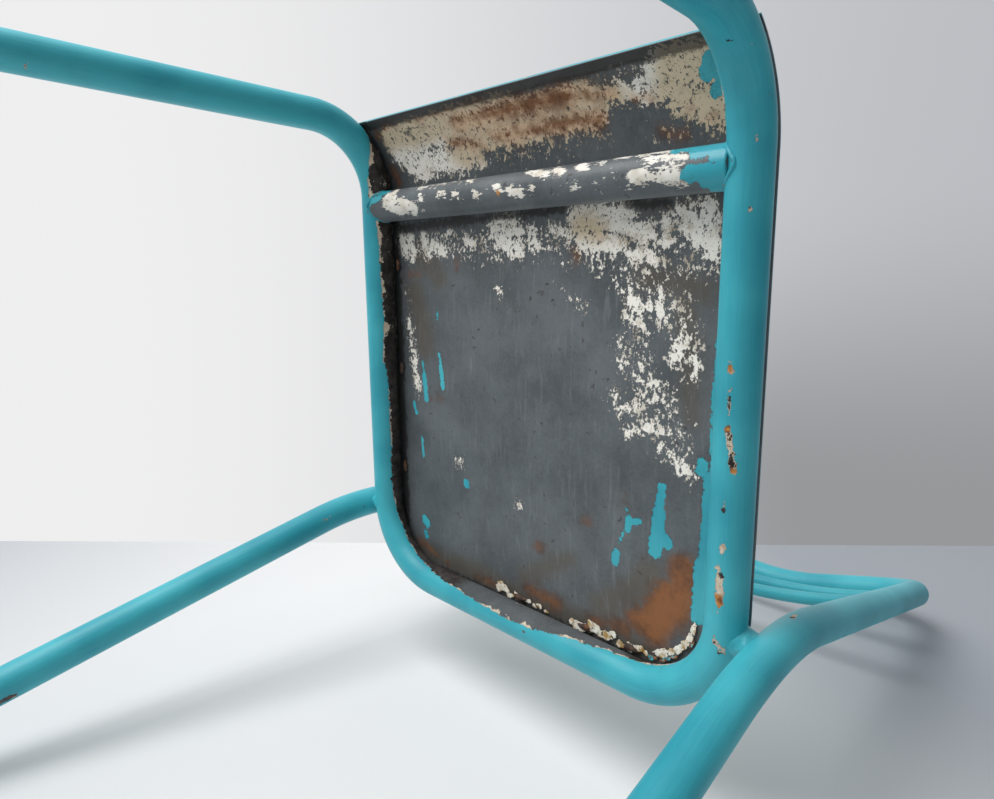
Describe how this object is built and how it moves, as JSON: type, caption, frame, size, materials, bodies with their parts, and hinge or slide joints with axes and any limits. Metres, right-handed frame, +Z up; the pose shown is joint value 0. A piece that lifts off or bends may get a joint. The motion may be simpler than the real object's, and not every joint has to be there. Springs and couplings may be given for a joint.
{
  "type": "metal cafe chair",
  "caption": "Small armless chair of bent steel tube with a pressed sheet seat, bowed back bars and peeling turquoise paint over old cream paint, grey steel and rust.",
  "frame": {"origin": "on the floor, at the centre of the chair's outline seen from above", "axes": "+Z up, the front of the chair faces -Y, +X to the right of somebody who faces the back of the chair from in front of it"},
  "size_m": [0.4612, 0.5437, 0.8856],
  "materials": {
    "turquoise_paint": "brushed turquoise repaint, satin, chipped and ragged at its edges",
    "bare_tube": "worn grey tube with cream flakes",
    "seat_sheet": "mottled grey sheet with cream flakes, rust blooms and turquoise drips below, worn turquoise above",
    "painted_weld": "rough weld bead under turquoise paint",
    "bare_weld": "dark rusty weld",
    "foot_rubber": "scuffed matte black"
  },
  "bodies": {
    "root": {"seat_frame_tube": "turquoise_paint", "back_frame_tube": "turquoise_paint", "cross_tube": "bare_tube", "lower_back_bar": "turquoise_paint", "upper_back_bar": "turquoise_paint", "seat_pan": "seat_sheet", "joint_welds": "painted_weld", "cross_tube_welds": "painted_weld", "back_bar_welds": "painted_weld", "seat_tack_welds": "bare_weld", "foot_front_left": "foot_rubber", "foot_front_right": "foot_rubber", "foot_rear_left": "foot_rubber", "foot_rear_right": "foot_rubber"}
  },
  "joints": []
}
